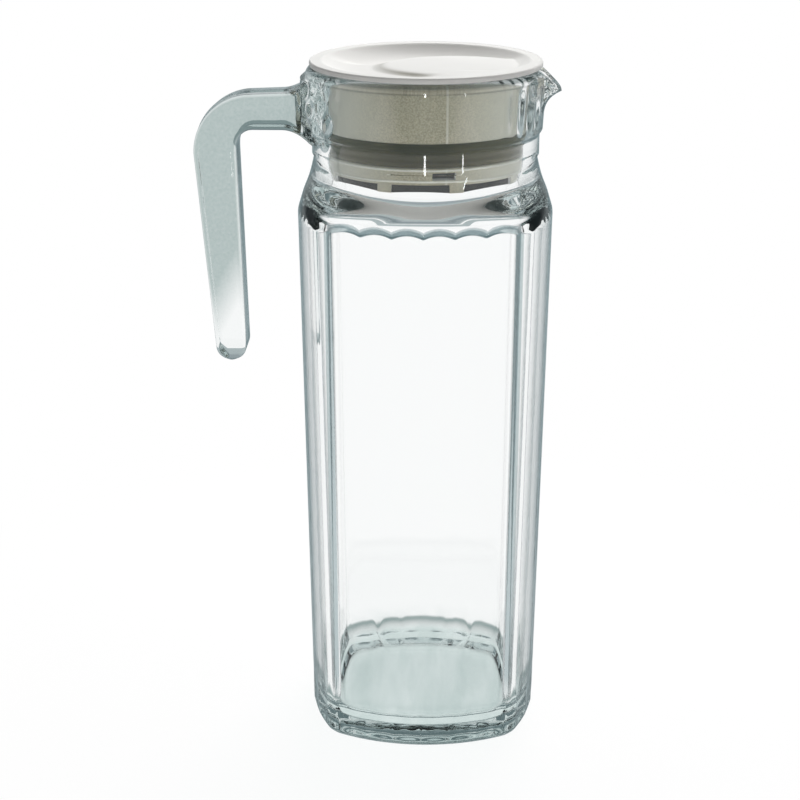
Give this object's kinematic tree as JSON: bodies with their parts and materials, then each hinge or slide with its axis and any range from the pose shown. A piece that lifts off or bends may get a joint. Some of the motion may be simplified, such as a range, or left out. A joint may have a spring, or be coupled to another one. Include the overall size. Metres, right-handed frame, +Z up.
{
  "type": "glass pitcher with lid",
  "caption": "Soft square glass pitcher with a round neck, pouring lip, open-ended side handle and a dished plug lid with a soft sealing ring.",
  "frame": {"origin": "middle of the flat base, on the jug's axis", "axes": "+Z up along the jug's axis, +X towards the pouring lip, with the handle on -X"},
  "size_m": [0.1268, 0.0884, 0.245],
  "materials": {
    "glass": "clear, faint cool tint",
    "cap": "satin, warm white",
    "seal": "matt, warm grey"
  },
  "bodies": {
    "jug": {"jug_body": "glass", "jug_handle": "glass"},
    "seal": {"lid_seal": "seal"},
    "cap": {"lid_cap": "cap"}
  },
  "joints": [
    {"name": "lid_lift", "type": "slide", "parent": "jug", "child": "seal", "axis": [0, 0, 1], "range_m": [0, 0.06]},
    {"name": "lid_turn", "type": "hinge", "parent": "seal", "child": "cap", "pos_m": [0, 0, 0.22], "axis": [0, 0, 1], "continuous": true}
  ]
}
